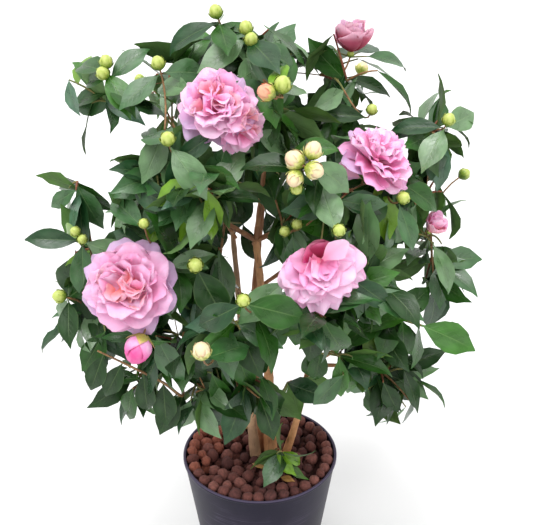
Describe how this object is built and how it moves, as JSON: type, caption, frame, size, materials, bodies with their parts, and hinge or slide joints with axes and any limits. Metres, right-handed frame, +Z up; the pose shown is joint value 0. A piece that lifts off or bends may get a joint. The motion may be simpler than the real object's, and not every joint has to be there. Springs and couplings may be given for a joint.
{
  "type": "potted camellia shrub",
  "caption": "Bushy camellia shrub with glossy green leaves and ruffled pink blooms, growing as a clump of stems in a round dark plastic pot topped with clay pellets.",
  "frame": {"origin": "centre of the pot's flat underside", "axes": "+Z up the stems, -Y towards the shrub's front, +X to the right seen from the front"},
  "size_m": [0.5136, 0.4349, 0.7778],
  "materials": {
    "pot": "satin moulded plastic with fine scuffs",
    "clay_pellets": "matt fired clay",
    "bark": "smooth light-brown bark",
    "leaf": "leathery and glossy, paler beneath",
    "petal": "soft and matt",
    "bud": "satin scales"
  },
  "bodies": {
    "root": {"pot": "pot", "pellet_fill": "clay_pellets", "stem_main": "bark", "stem_left": "bark", "stem_rear": "bark", "stem_right": "bark", "stem_basal": "bark", "crown_top": "leaf", "crown_front": "leaf", "crown_left": "leaf", "crown_right": "leaf", "crown_rear": "leaf", "left_upper": "leaf", "right_upper": "leaf", "left_tip": "leaf", "left_shoulder": "leaf", "front_left_upper": "leaf", "front_right_upper": "leaf", "right_shoulder": "leaf", "right_mid": "leaf", "rear_left_upper": "leaf", "rear_upper": "leaf", "rear_right_upper": "leaf", "left_mid": "leaf", "front_left": "leaf", "front_low": "leaf", "front_near": "leaf", "front_right": "leaf", "right": "leaf", "rear_left": "leaf", "rear_right": "leaf", "left_low": "leaf", "front_left_low": "leaf", "right_low": "leaf", "front_right_low": "leaf", "rear_left_low": "leaf", "rear_right_low": "leaf", "hanging_left": "leaf", "hanging_right": "leaf", "foot_front": "leaf", "foot_shoot": "leaf", "foot_left": "leaf", "foot_right": "leaf", "heart_right": "leaf", "heart_left": "leaf", "bough_crown": "bark", "bough_upper_left": "bark", "bough_upper_right": "bark", "bough_front": "bark", "bough_left": "bark", "bough_low_left": "bark", "bough_rear_left": "bark", "bough_rear": "bark", "bough_top": "bark", "bough_rear_right": "bark", "bough_right": "bark", "bough_low_right": "bark", "bough_low_front": "bark"}
  },
  "joints": []
}
